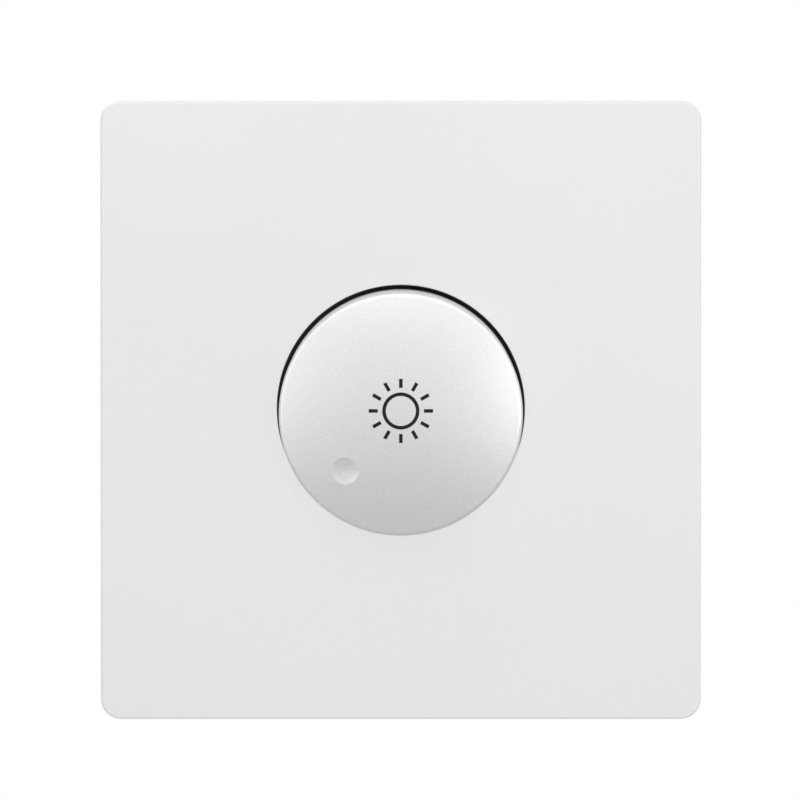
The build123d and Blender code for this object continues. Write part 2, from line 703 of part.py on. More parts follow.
nodes = {
    "cover_plate": cover_plate(),
    "mounting_frame": mounting_frame(),
    "heat_sink": heat_sink(),
    "rear_housing": rear_housing(),
    "housing_screws": housing_screws(),
    "knob": knob(),
    "knob_spring": knob_spring(),
    "shaft": shaft(),
    "shaft_clip": shaft_clip(),
    "wiper_carrier": wiper_carrier(),
    "wiper_contacts": wiper_contacts(),
    "pot_bushing": pot_bushing(),
    "bushing_washer": bushing_washer(),
    "bushing_nut": bushing_nut(),
    "pot_case": pot_case(),
    "track_board": track_board(),
    "pot_tags": pot_tags(),
    "switch_module": switch_module(),
    "switch_pins": switch_pins(),
    "circuit_board": circuit_board(),
    "board_screws": board_screws(),
    "terminal_block_live": terminal_block(-term_x),
    "terminal_block_load": terminal_block(term_x),
    "terminal_screw_live": terminal_screw(-term_x),
    "terminal_screw_load": terminal_screw(term_x),
    "triac_tab": triac_tab(),
    "triac_body": triac_body(),
    "triac_leads": triac_leads(),
    "triac_screw": triac_screw(),
    "choke_core": choke_core(),
    "choke_winding": choke_winding(),
    "filter_capacitor": capacitor(film_x, film_z, film_w, film_h, film_len),
    "timing_capacitor": capacitor(timing_x, timing_z, timing_w, timing_h, timing_len),
    "resistors": resistors(),
    "trigger_diode": axial(diode_r, diode_len, diode_span, 1),
    "fuse_tube": fuse_tube(),
    "fuse_caps": fuse_caps(),
    "fuse_clips": fuse_clips(),
}
for name, shape in nodes.items():
    export_step(shape, f"parts/{name}.step")
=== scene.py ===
import bmesh
import bpy
import math
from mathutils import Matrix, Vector


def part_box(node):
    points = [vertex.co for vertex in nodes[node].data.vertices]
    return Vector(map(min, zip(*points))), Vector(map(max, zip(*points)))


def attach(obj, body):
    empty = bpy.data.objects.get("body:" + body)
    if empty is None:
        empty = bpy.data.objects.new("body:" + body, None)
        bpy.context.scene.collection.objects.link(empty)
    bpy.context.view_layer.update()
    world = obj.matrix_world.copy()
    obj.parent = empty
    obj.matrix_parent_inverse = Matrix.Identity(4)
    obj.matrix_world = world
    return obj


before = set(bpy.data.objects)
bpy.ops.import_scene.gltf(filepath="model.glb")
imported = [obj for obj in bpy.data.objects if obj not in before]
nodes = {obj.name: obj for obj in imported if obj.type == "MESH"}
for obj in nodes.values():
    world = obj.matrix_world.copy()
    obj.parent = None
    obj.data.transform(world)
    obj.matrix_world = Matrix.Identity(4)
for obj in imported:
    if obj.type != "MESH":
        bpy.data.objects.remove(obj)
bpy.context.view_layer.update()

# Cover plate: one white moulding of a hard thermoplastic, with a fine spark-eroded skin on the face.
# It snaps onto the mounting frame, so no screw shows. The wall of its opening and the inner part of the
# opening's rounded edge are painted dark grey as shade, the shade that the knob would cast there.

OPENING_SHADE_RADIUS = 0.01774      # out to here the wall of the opening and its rounded edge get painted shade
OPENING_SHADE_FADE = 0.00006
# painted shade: the colour of the opening's wall and the inner part of its rounded edge
OPENING_SHADE_GREY = (0.03, 0.03, 0.03)


def set_inputs(tree, node, values):
    """Gives each named input a value or a colour, or links it to an output or to a list of them."""
    for label, value in values.items():
        socket = node.inputs[label]
        if isinstance(value, bpy.types.NodeSocket):
            tree.links.new(value, socket)
        elif isinstance(value, list):
            for output in value:
                tree.links.new(output, socket)
        elif socket.type == "RGBA":
            socket.default_value = (*value, 1.0)
        else:
            socket.default_value = value


def add_node(tree, kind, values, **settings):
    """A node with its settings and inputs; gives back its outputs."""
    node = tree.nodes.new(kind)
    for setting, value in settings.items():
        setattr(node, setting, value)
    set_inputs(tree, node, values)
    return node.outputs


def noise(tree, place, scale, detail, roughness=0.5):
    """A cloudy value that changes from place to place."""
    values = {"Vector": place, "Scale": scale, "Detail": detail, "Roughness": roughness}
    return add_node(tree, "ShaderNodeTexNoise", values)["Fac"]


def bump(tree, height, depth):
    """The normal of a surface that rises with a value, by up to the depth."""
    values = {"Strength": 1.0, "Distance": depth, "Height": height}
    return add_node(tree, "ShaderNodeBump", values)["Normal"]


def object_place(tree):
    """The place on the object, in metres."""
    return add_node(tree, "ShaderNodeTexCoord", {})["Object"]


def spread_over(tree, value, start=0.0, end=1.0, low=0.0, high=1.0):
    """Turns a value between start and end into one between low and high."""
    values = {"Value": value, "From Min": start, "From Max": end, "To Min": low, "To Max": high}
    return add_node(tree, "ShaderNodeMapRange", values)["Result"]


def mixed_colour(tree, amount, first, second):
    """Blends two colours by an amount."""
    first_colour, second_colour = 6, 7      # the blend's two colour inputs, which share their names
    values = {"Factor": amount, first_colour: first, second_colour: second}
    return add_node(tree, "ShaderNodeMix", values, data_type="RGBA")[2]


def tone_ramp(tree, value, low, high, spread=(0.3, 0.7)):
    """A colour that runs from low to high as a value drifts."""
    ramp = tree.nodes.new("ShaderNodeValToRGB")
    for stop, position, colour in zip(ramp.color_ramp.elements, spread, (low, high)):
        stop.position = position
        stop.color = (*colour, 1.0)
    tree.links.new(value, ramp.inputs["Fac"])
    return ramp.outputs["Color"]


def new_group(name, sizes):
    """An empty shader group with number inputs, and the outputs that carry them inside it."""
    tree = bpy.data.node_groups.new(name, "ShaderNodeTree")
    for label, value in sizes.items():
        socket = tree.interface.new_socket(label, in_out="INPUT", socket_type="NodeSocketFloat")
        socket.default_value = value
    return tree, tree.nodes.new("NodeGroupInput").outputs


def finish_group(tree, results):
    """Puts out what a shader group has worked out, each under its name."""
    for label, result in results.items():
        kind = "NodeSocketVector" if result.type == "VECTOR" else "NodeSocketFloat"
        tree.interface.new_socket(label, in_out="OUTPUT", socket_type=kind)
    set_inputs(tree, tree.nodes.new("NodeGroupOutput"), results)
    return tree


def moulded_skin_group():
    """Fine eroded grain as a mask and a normal, and a slow drift of tone."""
    sizes = {"Grain Scale": 9000.0, "Grain Height": 0.000004, "Drift Scale": 30.0}
    tree, size = new_group("moulded_skin", sizes)
    place = object_place(tree)
    grain = noise(tree, place, size["Grain Scale"], 3.0, 0.6)
    drift = noise(tree, place, size["Drift Scale"], 2.0)
    normal = bump(tree, grain, size["Grain Height"])
    return finish_group(tree, {"Normal": normal, "Tone": drift, "Grain": grain})


moulded_skin = moulded_skin_group()


def new_material(name):
    """A material with its node tree and its Principled shader."""
    material = bpy.data.materials.new(name)
    material.use_nodes = True
    tree = material.node_tree
    return material, tree, tree.nodes["Principled BSDF"]


def skinned_material(name, group, sizes, low, high, rough, plain):
    """A finish whose tone, roughness and normal come from a group, and the rest from plain values."""
    material, tree, shader = new_material(name)
    skin = add_node(tree, "ShaderNodeGroup", sizes, node_tree=group)
    set_inputs(tree, shader, {
        "Base Color": tone_ramp(tree, skin["Tone"], low, high),
        "Roughness": spread_over(tree, skin["Grain"], low=rough[0], high=rough[1]),
        "Normal": skin["Normal"],
        **plain,
    })
    return material


def moulded_plastic(name, low, high, rough, grain_scale, grain_height, drift_scale=30.0):
    """A moulded thermoplastic: slow drift of tone, fine grain in the skin, satin to matt."""
    sizes = {"Grain Scale": grain_scale, "Grain Height": grain_height, "Drift Scale": drift_scale}
    return skinned_material(name, moulded_skin, sizes, low, high, rough, {})


def dress(material, *names):
    """Gives the meshes of CAD nodes their material."""
    for name in names:
        slots = nodes[name].data.materials
        slots.clear()
        slots.append(material)


def shade_opening(material):
    """Paints shade: darkens what lies within the shade's radius round the knob's axis."""
    tree = material.node_tree
    shader = tree.nodes["Principled BSDF"]
    values = {0: object_place(tree), 1: (1.0, 0.0, 1.0)}
    across = add_node(tree, "ShaderNodeVectorMath", values, operation="MULTIPLY")["Vector"]
    radius = add_node(tree, "ShaderNodeVectorMath", {0: across}, operation="LENGTH")["Value"]
    shade = spread_over(
        tree, radius, OPENING_SHADE_RADIUS, OPENING_SHADE_RADIUS + OPENING_SHADE_FADE, 1.0, 0.0
    )
    white = shader.inputs["Base Color"].links[0].from_socket
    set_inputs(tree, shader, {"Base Color": mixed_colour(tree, shade, white, OPENING_SHADE_GREY)})


cover_white = moulded_plastic(
    "cover_white", (0.855, 0.855, 0.855), (0.87, 0.87, 0.87), (0.36, 0.46), 7000.0, 0.0000015
)
# the cover's white gets painted shade in its opening
shade_opening(cover_white)
dress(cover_white, "cover_plate")

# Knob: a domed moulding sprayed with a satin pearl lacquer, whose fine flakes give it a silvery sheen.
# It is pushed onto the flat-sided shaft and turns in the opening of the cover. Its side and the part within
# the opening carry painted shade.

RIM_DEPTH = -0.017              # where the rounded rim turns into the side
GAP_SHADE_FADE = 0.0004           # over this depth, in front of the cover's face, the painted shade of the gap fades in
# painted shade: the knob's side darkens towards the cover, and the part inside the opening is darker still
SIDE_SHADE_GREY = (0.5, 0.5, 0.505)
GAP_SHADE_GREY = (0.4, 0.4, 0.404)


def work_out(tree, kind, first, second=0.0):
    """A sum of numbers or outputs."""
    return add_node(tree, "ShaderNodeMath", {0: first, 1: second}, operation=kind)["Value"]


def object_axes(tree):
    """The place on the object, split into X, Y and Z."""
    return add_node(tree, "ShaderNodeSeparateXYZ", {"Vector": object_place(tree)})


def lacquer_flake_group():
    """Fine flakes as a mask, and the slight peel of a sprayed coat as a normal."""
    sizes = {"Flake Scale": 9000.0, "Peel Scale": 900.0, "Peel Height": 0.000002}
    tree, size = new_group("lacquer_flake", sizes)
    place = object_place(tree)
    flake = noise(tree, place, size["Flake Scale"], 2.0, 0.7)
    peel = noise(tree, place, size["Peel Scale"], 2.0)
    return finish_group(tree, {"Flake": flake, "Normal": bump(tree, peel, size["Peel Height"])})


def painted_shade_group():
    """Masks of painted shade: none on the face, growing down the side, and full behind the cover's face."""
    tree, size = new_group("painted_side_and_gap_shade", {"Rim Depth": 0.0, "Cover Face Depth": 0.0, "Fade": GAP_SHADE_FADE})
    depth = object_axes(tree)["Y"]
    fade_start = work_out(tree, "SUBTRACT", size["Cover Face Depth"], size["Fade"])
    return finish_group(tree, {
        "Side": spread_over(tree, depth, size["Rim Depth"], size["Cover Face Depth"]),
        "Gap Shade": spread_over(tree, depth, fade_start, size["Cover Face Depth"]),
    })


def pearl_lacquer():
    """Silvery satin coat, darkened by painted shade down the side and more so behind the cover's face."""
    material, tree, shader = new_material("pearl_lacquer")
    depths = {"Rim Depth": RIM_DEPTH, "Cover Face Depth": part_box("cover_plate")[0].y}
    # the masks of painted shade down the side and behind the cover's face
    reach = add_node(tree, "ShaderNodeGroup", depths, node_tree=painted_shade_group())
    sizes = {"Flake Scale": 5200.0, "Peel Scale": 700.0, "Peel Height": 0.0000015}
    skin = add_node(tree, "ShaderNodeGroup", sizes, node_tree=lacquer_flake_group())
    full = tone_ramp(tree, skin["Flake"], (0.62, 0.62, 0.623), (0.75, 0.75, 0.75), (0.2, 0.8))
    side_shaded = mixed_colour(tree, reach["Side"], full, SIDE_SHADE_GREY)
    set_inputs(tree, shader, {
        "Base Color": mixed_colour(tree, reach["Gap Shade"], side_shaded, GAP_SHADE_GREY),
        "Roughness": spread_over(tree, skin["Flake"], low=0.4, high=0.5),
        "Normal": skin["Normal"],
        "Metallic": 0.8,
        "Coat Weight": 0.15,
        "Coat Roughness": 0.3,
    })
    return material


dress(pearl_lacquer(), "knob")

# Brightness sign: a small sun, pad-printed in black ink on the top of the dome.
# The ink lies a few hundredths of a millimetre proud and follows the curve of the dome.

SIGN_RISE = 0.0007              # the sign's centre above the knob's axis
RING_RADIUS = 0.0024
RING_POINTS = 97
SIGN_STROKE = 0.0005
STROKE_POINTS = 3
RAY_START = 0.0033
RAY_LENGTH = 0.0013
RAY_POINTS = 7
RAYS = 12
DOME_RADIUS = 0.06222
INK_PROUD = 0.00002
INK_SUNK = 0.00002
RING_SEAM = 0.000001            # points nearer than this are one where the ring closes
INK_SEAM = 0.0000005            # and the same where two faces of ink meet
sun_sizes = {
    "Ring Radius": RING_RADIUS, "Stroke": SIGN_STROKE, "Ray Start": RAY_START, "Ray Length": RAY_LENGTH,
    "Rays": RAYS, "Rise": SIGN_RISE, "Dome Radius": DOME_RADIUS, "Dome Top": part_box("knob")[0].y,
    "Ink Proud": INK_PROUD, "Ink Sunk": INK_SUNK,
}


def growing_tree(name, sizes):
    """An empty geometry tree with a named input for each size, and the outputs that carry them."""
    tree = bpy.data.node_groups.new(name, "GeometryNodeTree")
    for label, value in sizes.items():
        kind = "NodeSocketInt" if isinstance(value, int) else "NodeSocketFloat"
        tree.interface.new_socket(label, in_out="INPUT", socket_type=kind)
    tree.interface.new_socket("Geometry", in_out="OUTPUT", socket_type="NodeSocketGeometry")
    return tree, tree.nodes.new("NodeGroupInput").outputs


def finish_tree(tree, geometry, material):
    """Ends a geometry tree with real copies in their material."""
    real = add_node(tree, "GeometryNodeRealizeInstances", {"Geometry": geometry})["Geometry"]
    values = {"Geometry": real, "Material": material}
    painted = add_node(tree, "GeometryNodeSetMaterial", values)["Geometry"]
    set_inputs(tree, tree.nodes.new("NodeGroupOutput"), {"Geometry": painted})
    return tree


def merged(tree, mesh, distance):
    """A mesh whose points nearer than a distance are one."""
    values = {"Geometry": mesh, "Distance": distance}
    return add_node(tree, "GeometryNodeMergeByDistance", values)["Geometry"]


def moved(tree, mesh, x, y, z):
    """Gives each point of a mesh the place that x, y and z work out."""
    place = add_node(tree, "ShaderNodeCombineXYZ", {"X": x, "Y": y, "Z": z})["Vector"]
    values = {"Geometry": mesh, "Position": place}
    return add_node(tree, "GeometryNodeSetPosition", values)["Geometry"]


def drawn_place(tree):
    """The place of each point, split into X, Y and Z."""
    place = add_node(tree, "GeometryNodeInputPosition", {})["Position"]
    return add_node(tree, "ShaderNodeSeparateXYZ", {"Vector": place})


def flat_ring(tree, size):
    """A flat grid whose length becomes the angle and whose width becomes the radius."""
    strip = add_node(tree, "GeometryNodeMeshGrid", {
        "Vertices X": RING_POINTS, "Size X": 2 * math.pi,
        "Vertices Y": STROKE_POINTS, "Size Y": size["Stroke"],
    })["Mesh"]
    drawn = drawn_place(tree)
    radius = work_out(tree, "ADD", drawn["Y"], size["Ring Radius"])
    across = work_out(tree, "MULTIPLY", radius, work_out(tree, "COSINE", drawn["X"]))
    up = work_out(tree, "MULTIPLY", radius, work_out(tree, "SINE", drawn["X"]))
    return merged(tree, moved(tree, strip, across, up, 0.0), RING_SEAM)


def flat_rays(tree, size):
    """One bar put on the points of a circle, turned to look outwards."""
    bar = add_node(tree, "GeometryNodeMeshGrid", {
        "Vertices X": RAY_POINTS, "Size X": size["Ray Length"],
        "Vertices Y": STROKE_POINTS, "Size Y": size["Stroke"],
    })["Mesh"]
    middle = work_out(tree, "ADD", size["Ray Start"], work_out(tree, "MULTIPLY", size["Ray Length"], 0.5))
    values = {"Vertices": size["Rays"], "Radius": middle}
    circle = add_node(tree, "GeometryNodeMeshCircle", values)["Mesh"]
    place = add_node(tree, "GeometryNodeInputPosition", {})["Position"]
    outward = add_node(
        tree, "FunctionNodeAlignRotationToVector", {"Vector": place}, axis="X", pivot_axis="Z"
    )["Rotation"]
    values = {"Points": circle, "Instance": bar, "Rotation": outward}
    rays = add_node(tree, "GeometryNodeInstanceOnPoints", values)["Instances"]
    return add_node(tree, "GeometryNodeRealizeInstances", {"Geometry": rays})["Geometry"]


def sun_sign_tree(material):
    """Ring and rays drawn flat, laid onto the dome and given the ink's thickness."""
    tree, size = growing_tree("sun_sign", sun_sizes)
    shapes = {"Geometry": [flat_rays(tree, size), flat_ring(tree, size)]}
    flat = add_node(tree, "GeometryNodeJoinGeometry", shapes)["Geometry"]
    # drawn X and Y become X and Z, and the depth comes from the dome's sphere
    drawn = drawn_place(tree)
    height = work_out(tree, "ADD", drawn["Y"], size["Rise"])
    across_square = work_out(tree, "POWER", drawn["X"], 2.0)
    height_square = work_out(tree, "MULTIPLY", height, height)
    dome_square = work_out(tree, "MULTIPLY", size["Dome Radius"], size["Dome Radius"])
    off_axis = work_out(tree, "ADD", across_square, height_square)
    reach = work_out(tree, "SQRT", work_out(tree, "SUBTRACT", dome_square, off_axis))
    sunk = work_out(tree, "ADD", size["Dome Top"], size["Ink Sunk"])
    depth = work_out(tree, "SUBTRACT", work_out(tree, "ADD", sunk, size["Dome Radius"]), reach)
    laid = moved(tree, flat, drawn["X"], depth, height)
    # the laid sheet is pushed out for the front and the edges, and turned over for the back
    outward = add_node(tree, "ShaderNodeCombineXYZ", {"Y": -1.0})["Vector"]
    thick = add_node(tree, "GeometryNodeExtrudeMesh", {
        "Mesh": laid, "Individual": False, "Offset": outward,
        "Offset Scale": work_out(tree, "ADD", size["Ink Proud"], size["Ink Sunk"]),
    })["Mesh"]
    back = add_node(tree, "GeometryNodeFlipFaces", {"Mesh": laid})["Mesh"]
    closed = add_node(tree, "GeometryNodeJoinGeometry", {"Geometry": [back, thick]})["Geometry"]
    return finish_tree(tree, merged(tree, closed, INK_SEAM), material)


def kept_piece(name, source, material):
    """Keeps what an object has become as a plain mesh, its doubles merged and its faces outwards."""
    mesh = bpy.data.meshes.new_from_object(source.evaluated_get(bpy.context.evaluated_depsgraph_get()))
    source.modifiers.clear()
    bpy.data.objects.remove(source)
    mesh.name = name
    shell = bmesh.new()
    shell.from_mesh(mesh)
    bmesh.ops.remove_doubles(shell, verts=shell.verts, dist=INK_SEAM)
    bmesh.ops.recalc_face_normals(shell, faces=shell.faces)
    shell.to_mesh(mesh)
    shell.free()
    mesh.materials.clear()
    mesh.materials.append(material)
    piece = bpy.data.objects.new(name, mesh)
    bpy.context.collection.objects.link(piece)
    return piece


def grown_piece(name, tree, sizes, material):
    """Runs a geometry tree once with its sizes."""
    seed = bpy.data.objects.new(name + "_seed", bpy.data.meshes.new(name + "_seed"))
    modifier = seed.modifiers.new("grow", "NODES")
    modifier.node_group = tree
    for socket in tree.interface.items_tree:
        if socket.in_out == "INPUT":
            modifier[socket.identifier] = sizes[socket.name]
    bpy.context.collection.objects.link(seed)
    return kept_piece(name, seed, material)


def printing_ink(name, low, high):
    """Matt ink, a little uneven where the pad pressed it."""
    sizes = {"Grain Scale": 12000.0, "Grain Height": 0.000001, "Drift Scale": 1500.0}
    return skinned_material(
        name, moulded_skin, sizes, low, high, (0.5, 0.65), {"Specular IOR Level": 0.15}
    )


black_ink = printing_ink("black_ink", (0.010, 0.008, 0.008), (0.022, 0.019, 0.018))
brightness_sign = grown_piece("brightness_sign", sun_sign_tree(black_ink), sun_sizes, black_ink)
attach(brightness_sign, "knob_assembly")

# Shaft and what turns with it: a turned and nickel-plated steel shaft in the bushing, with a spring-steel
# clip and leaf spring. Behind, it drives a moulded nylon carrier with stamped bronze wiper contacts.


def drawn_lines_group(name, stretch, detail):
    """Lines that a tool or a roller leaves, long in the directions of small stretch."""
    tree, size = new_group(name, {"Line Scale": 4000.0, "Line Height": 0.000002})
    values = {0: object_place(tree), 1: stretch}
    place = add_node(tree, "ShaderNodeVectorMath", values, operation="MULTIPLY")["Vector"]
    line = noise(tree, place, size["Line Scale"], detail)
    normal = bump(tree, line, size["Line Height"])
    return finish_group(tree, {"Normal": normal, "Tone": line, "Grain": line})


turned_lines = drawn_lines_group("turned_lines", (0.06, 1.0, 0.06), 3.0)


def worked_metal(name, low, high, rough, line_scale=4000.0, line_height=0.000002, lines=turned_lines):
    """A bare or plated metal with fine tool marks and an uneven tone."""
    sizes = {"Line Scale": line_scale, "Line Height": line_height}
    return skinned_material(name, lines, sizes, low, high, rough, {"Metallic": 1.0})


nickel_plate = worked_metal("nickel_plate", (0.6, 0.58, 0.54), (0.72, 0.7, 0.66), (0.22, 0.36))
spring_strip = worked_metal("spring_strip", (0.5, 0.5, 0.51), (0.64, 0.64, 0.65), (0.2, 0.34), 2500.0)
phosphor_bronze = worked_metal("phosphor_bronze", (0.62, 0.36, 0.2), (0.74, 0.46, 0.27), (0.25, 0.4), 2500.0)
carrier_nylon = moulded_plastic(
    "carrier_nylon", (0.74, 0.71, 0.62), (0.8, 0.77, 0.68), (0.4, 0.55), 5000.0, 0.000002
)
dress(nickel_plate, "shaft")
dress(spring_strip, "shaft_clip", "knob_spring")
dress(phosphor_bronze, "wiper_contacts")
dress(carrier_nylon, "wiper_carrier")

# Mounting frame: charcoal moulding screwed to the wall box through its two slots.
# The cover's hooks catch in its four windows, and the heat sink lies in the pocket behind it.

frame_charcoal = moulded_plastic(
    "frame_charcoal", (0.028, 0.029, 0.031), (0.04, 0.041, 0.043), (0.45, 0.6), 4500.0, 0.000004
)
dress(frame_charcoal, "mounting_frame")

# Heat sink: one plate of rolled aluminium sheet, sheared and punched, with the rolling grain across it.
# The frame and the housing clamp it between them, and the power switch is screwed to it.

rolled_lines = drawn_lines_group("rolled_lines", (0.03, 1.0, 1.0), 4.0)
rolled_aluminium = worked_metal(
    "rolled_aluminium", (0.66, 0.67, 0.68), (0.8, 0.81, 0.82), (0.3, 0.45), 2500.0, lines=rolled_lines
)
dress(rolled_aluminium, "heat_sink")

# Rear housing: dark grey flame-resistant moulding that closes the module in the wall box.
# Its back shows the shallow round marks of the mould's four ejector pins.

PIN_ACROSS = 0.0185             # the pins stand this far to both sides of the middle
PIN_LEVEL = 0.0075              # level midway between the upper and the lower pins
PIN_UP = 0.0125                 # the pins stand this far above and below that level
PIN_RADIUS = 0.0021
PIN_EDGE = 0.00015
PIN_DEPTH = 0.00018
PIN_POLISH = 0.78               # roughness of a pin's smooth end, as a share of that round it


def ejector_marks_group():
    """Mask that is 0 on four round pin marks, at the corners of a rectangle on the back, and 1 round them."""
    sizes = {"Pin Across": PIN_ACROSS, "Pin Level": PIN_LEVEL, "Pin Up": PIN_UP, "Pin Radius": PIN_RADIUS}
    tree, size = new_group("ejector_marks", sizes)
    axes = object_axes(tree)
    across = work_out(tree, "SUBTRACT", work_out(tree, "ABSOLUTE", axes["X"]), size["Pin Across"])
    rise = work_out(tree, "SUBTRACT", axes["Z"], size["Pin Level"])
    up = work_out(tree, "SUBTRACT", work_out(tree, "ABSOLUTE", rise), size["Pin Up"])
    across_square = work_out(tree, "MULTIPLY", across, across)
    squares = work_out(tree, "ADD", across_square, work_out(tree, "MULTIPLY", up, up))
    off_edge = work_out(tree, "SUBTRACT", work_out(tree, "SQRT", squares), size["Pin Radius"])
    return finish_group(tree, {"Mark": spread_over(tree, off_edge, -PIN_EDGE, PIN_EDGE)})


def housing_grey():
    """Coarser eroded skin, with the polished pin marks pressed into it."""
    material, tree, shader = new_material("housing_grey")
    sizes = {"Grain Scale": 3500.0, "Grain Height": 0.000006, "Drift Scale": 45.0}
    skin = add_node(tree, "ShaderNodeGroup", sizes, node_tree=moulded_skin)
    mark = add_node(tree, "ShaderNodeGroup", {}, node_tree=ejector_marks_group())["Mark"]
    grain = spread_over(tree, skin["Grain"], low=0.42, high=0.6)
    polish = spread_over(tree, mark, low=PIN_POLISH, high=1.0)
    values = {"Height": mark, "Normal": skin["Normal"], "Strength": 1.0, "Distance": PIN_DEPTH}
    set_inputs(tree, shader, {
        "Base Color": tone_ramp(tree, skin["Tone"], (0.062, 0.064, 0.067), (0.08, 0.082, 0.086)),
        "Roughness": work_out(tree, "MULTIPLY", grain, polish),
        "Normal": add_node(tree, "ShaderNodeBump", values)["Normal"],
    })
    return material


dress(housing_grey(), "rear_housing")

# Terminal signs: pale ink, pad-printed on the back of the housing over the two wire entries.
# A plain L marks the supply, and a crossed ring, the usual sign for a lamp, marks the dimmed side.

MARK_HALF = 0.0016              # half a sign's height
MARK_STROKE = 0.00042
MARK_OVER_BLOCK = 0.0052        # a sign's middle above the terminal block
LETTER_WIDTH = 0.0019
QUARTER_STEPS = 12


def letter_l():
    """The outline of a plain L."""
    left, right, top = -LETTER_WIDTH / 2, LETTER_WIDTH / 2, MARK_HALF
    bar_right, foot_top = left + MARK_STROKE, MARK_STROKE - top
    return [[
        (left, -top), (right, -top), (right, foot_top), (bar_right, foot_top), (bar_right, top), (left, top),
    ]]


def round_point(radius, angle):
    """A point of a circle round the sign's middle."""
    return radius * math.cos(angle), radius * math.sin(angle)


def crossed_ring():
    """The ring's outside, and the four holes that its stroke and the cross leave open."""
    steps = 4 * QUARTER_STEPS
    outlines = [[round_point(MARK_HALF, 2 * math.pi * step / steps) for step in range(steps)]]
    inside = MARK_HALF - MARK_STROKE
    reach = math.pi / 4 - math.asin(MARK_STROKE / 2 / inside)
    for quarter in range(4):
        middle = quarter * math.pi / 2
        hole = [round_point(MARK_STROKE / math.sqrt(2), middle)]
        for step in range(QUARTER_STEPS + 1):
            hole.append(round_point(inside, middle - reach + 2 * reach * step / QUARTER_STEPS))
        outlines.append(hole)
    return outlines


def printed_mark(name, outlines, block, material):
    """Ink between closed outlines, drawn as they are read from behind, over a terminal block."""
    drawing = bpy.data.curves.new(name, "CURVE")
    drawing.dimensions = "2D"
    drawing.fill_mode = "BOTH"
    drawing.extrude = INK_PROUD
    for outline in outlines:
        line = drawing.splines.new("POLY")
        line.points.add(len(outline) - 1)
        line.use_cyclic_u = True
        for point, (across, up) in zip(line.points, outline):
            point.co = (across, up, 0.0, 1.0)
    sketch = bpy.data.objects.new(name + "_sketch", drawing)
    bpy.context.collection.objects.link(sketch)
    mark = kept_piece(name, sketch, material)
    low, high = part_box(block)
    middle, height, back_face = (low.x + high.x) / 2, high.z + MARK_OVER_BLOCK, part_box("rear_housing")[1].y
    for corner in mark.data.vertices:
        across, up, proud = corner.co
        corner.co = (middle - across, back_face + proud, height + up)
    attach(mark, "switch_base")


pale_ink = printing_ink("pale_ink", (0.46, 0.46, 0.45), (0.56, 0.56, 0.55))
printed_mark("supply_sign", letter_l(), "terminal_block_live", pale_ink)
printed_mark("lamp_sign", crossed_ring(), "terminal_block_load", pale_ink)

# Screws: steel, zinc plated with a faint yellow cast, four through the frame into the housing,
# two that hold the board, one that holds the power switch to the heat sink, and two terminal clamps.

zinc_plate = worked_metal("zinc_plate", (0.5, 0.5, 0.46), (0.66, 0.66, 0.62), (0.28, 0.45), 3000.0)
dress(zinc_plate, "housing_screws", "board_screws", "triac_screw")
dress(zinc_plate, "terminal_screw_live", "terminal_screw_load")

# Control: a die-cast bushing, a stamped case and a laminated track board, with the mains switch behind.
# The nut on its washer clamps it to the frame and the heat sink.

die_cast = worked_metal("die_cast", (0.48, 0.48, 0.49), (0.6, 0.6, 0.61), (0.34, 0.5), 2000.0)
case_plate = worked_metal("case_plate", (0.56, 0.55, 0.52), (0.7, 0.69, 0.65), (0.24, 0.38), 1800.0)
tinned_strip = worked_metal("tinned_strip", (0.62, 0.62, 0.61), (0.76, 0.76, 0.75), (0.25, 0.42), 2500.0)
track_laminate = moulded_plastic(
    "track_laminate", (0.2, 0.09, 0.035), (0.3, 0.145, 0.06), (0.35, 0.5), 3000.0, 0.000003, 900.0
)
switch_black = moulded_plastic(
    "switch_black", (0.02, 0.02, 0.022), (0.032, 0.032, 0.034), (0.35, 0.5), 5000.0, 0.000003
)
dress(die_cast, "pot_bushing")
dress(zinc_plate, "bushing_washer")
dress(nickel_plate, "bushing_nut")
dress(case_plate, "pot_case")
dress(track_laminate, "track_board")
dress(tinned_strip, "pot_tags", "switch_pins")
dress(switch_black, "switch_module")

# Circuit board: glass-cloth laminate under green solder resist, so the weave shows faintly through.
# Two screws hold it on posts inside the housing. It carries the parts that follow.


def board_laminate():
    """Green resist over the weave of the glass cloth."""
    material, tree, shader = new_material("board_laminate")
    flat = {"Vector": object_place(tree), "Rotation": (math.pi / 2, 0.0, 0.0)}
    weave = add_node(tree, "ShaderNodeTexBrick", {
        "Vector": add_node(tree, "ShaderNodeMapping", flat)["Vector"],
        "Scale": 900.0,
        "Color1": (0.05, 0.17, 0.06),
        "Color2": (0.06, 0.2, 0.07),
        "Mortar": (0.04, 0.14, 0.05),
    })
    sizes = {"Grain Scale": 1800.0, "Grain Height": 0.000003}
    skin = add_node(tree, "ShaderNodeGroup", sizes, node_tree=moulded_skin)
    set_inputs(tree, shader, {
        "Base Color": weave["Color"],
        "Roughness": spread_over(tree, skin["Grain"], low=0.25, high=0.4),
        "Normal": skin["Normal"],
    })
    return material


dress(board_laminate(), "circuit_board")

# Terminals: sawn and drilled brass blocks, soldered to the board.
# A wire goes in from the back, and a screw from below clamps it in the bore.

sawn_brass = worked_metal("sawn_brass", (0.66, 0.47, 0.2), (0.8, 0.6, 0.3), (0.22, 0.4), 2600.0, 0.000003)
dress(sawn_brass, "terminal_block_live", "terminal_block_load")

# Power switch: a black epoxy body moulded on a tinned copper tab, with three tinned leads.
# Its tab is screwed flat to the heat sink, and the leads are soldered to the board.

epoxy_black = moulded_plastic(
    "epoxy_black", (0.018, 0.018, 0.019), (0.03, 0.03, 0.031), (0.4, 0.55), 4000.0, 0.000004
)
dress(epoxy_black, "triac_body")
dress(tinned_strip, "triac_tab", "triac_leads")

# Choke: a ferrite drum, pressed and fired, wound with one layer of enamelled copper wire.
# The turns lie side by side as rings of round wire, on the node's plain winding.

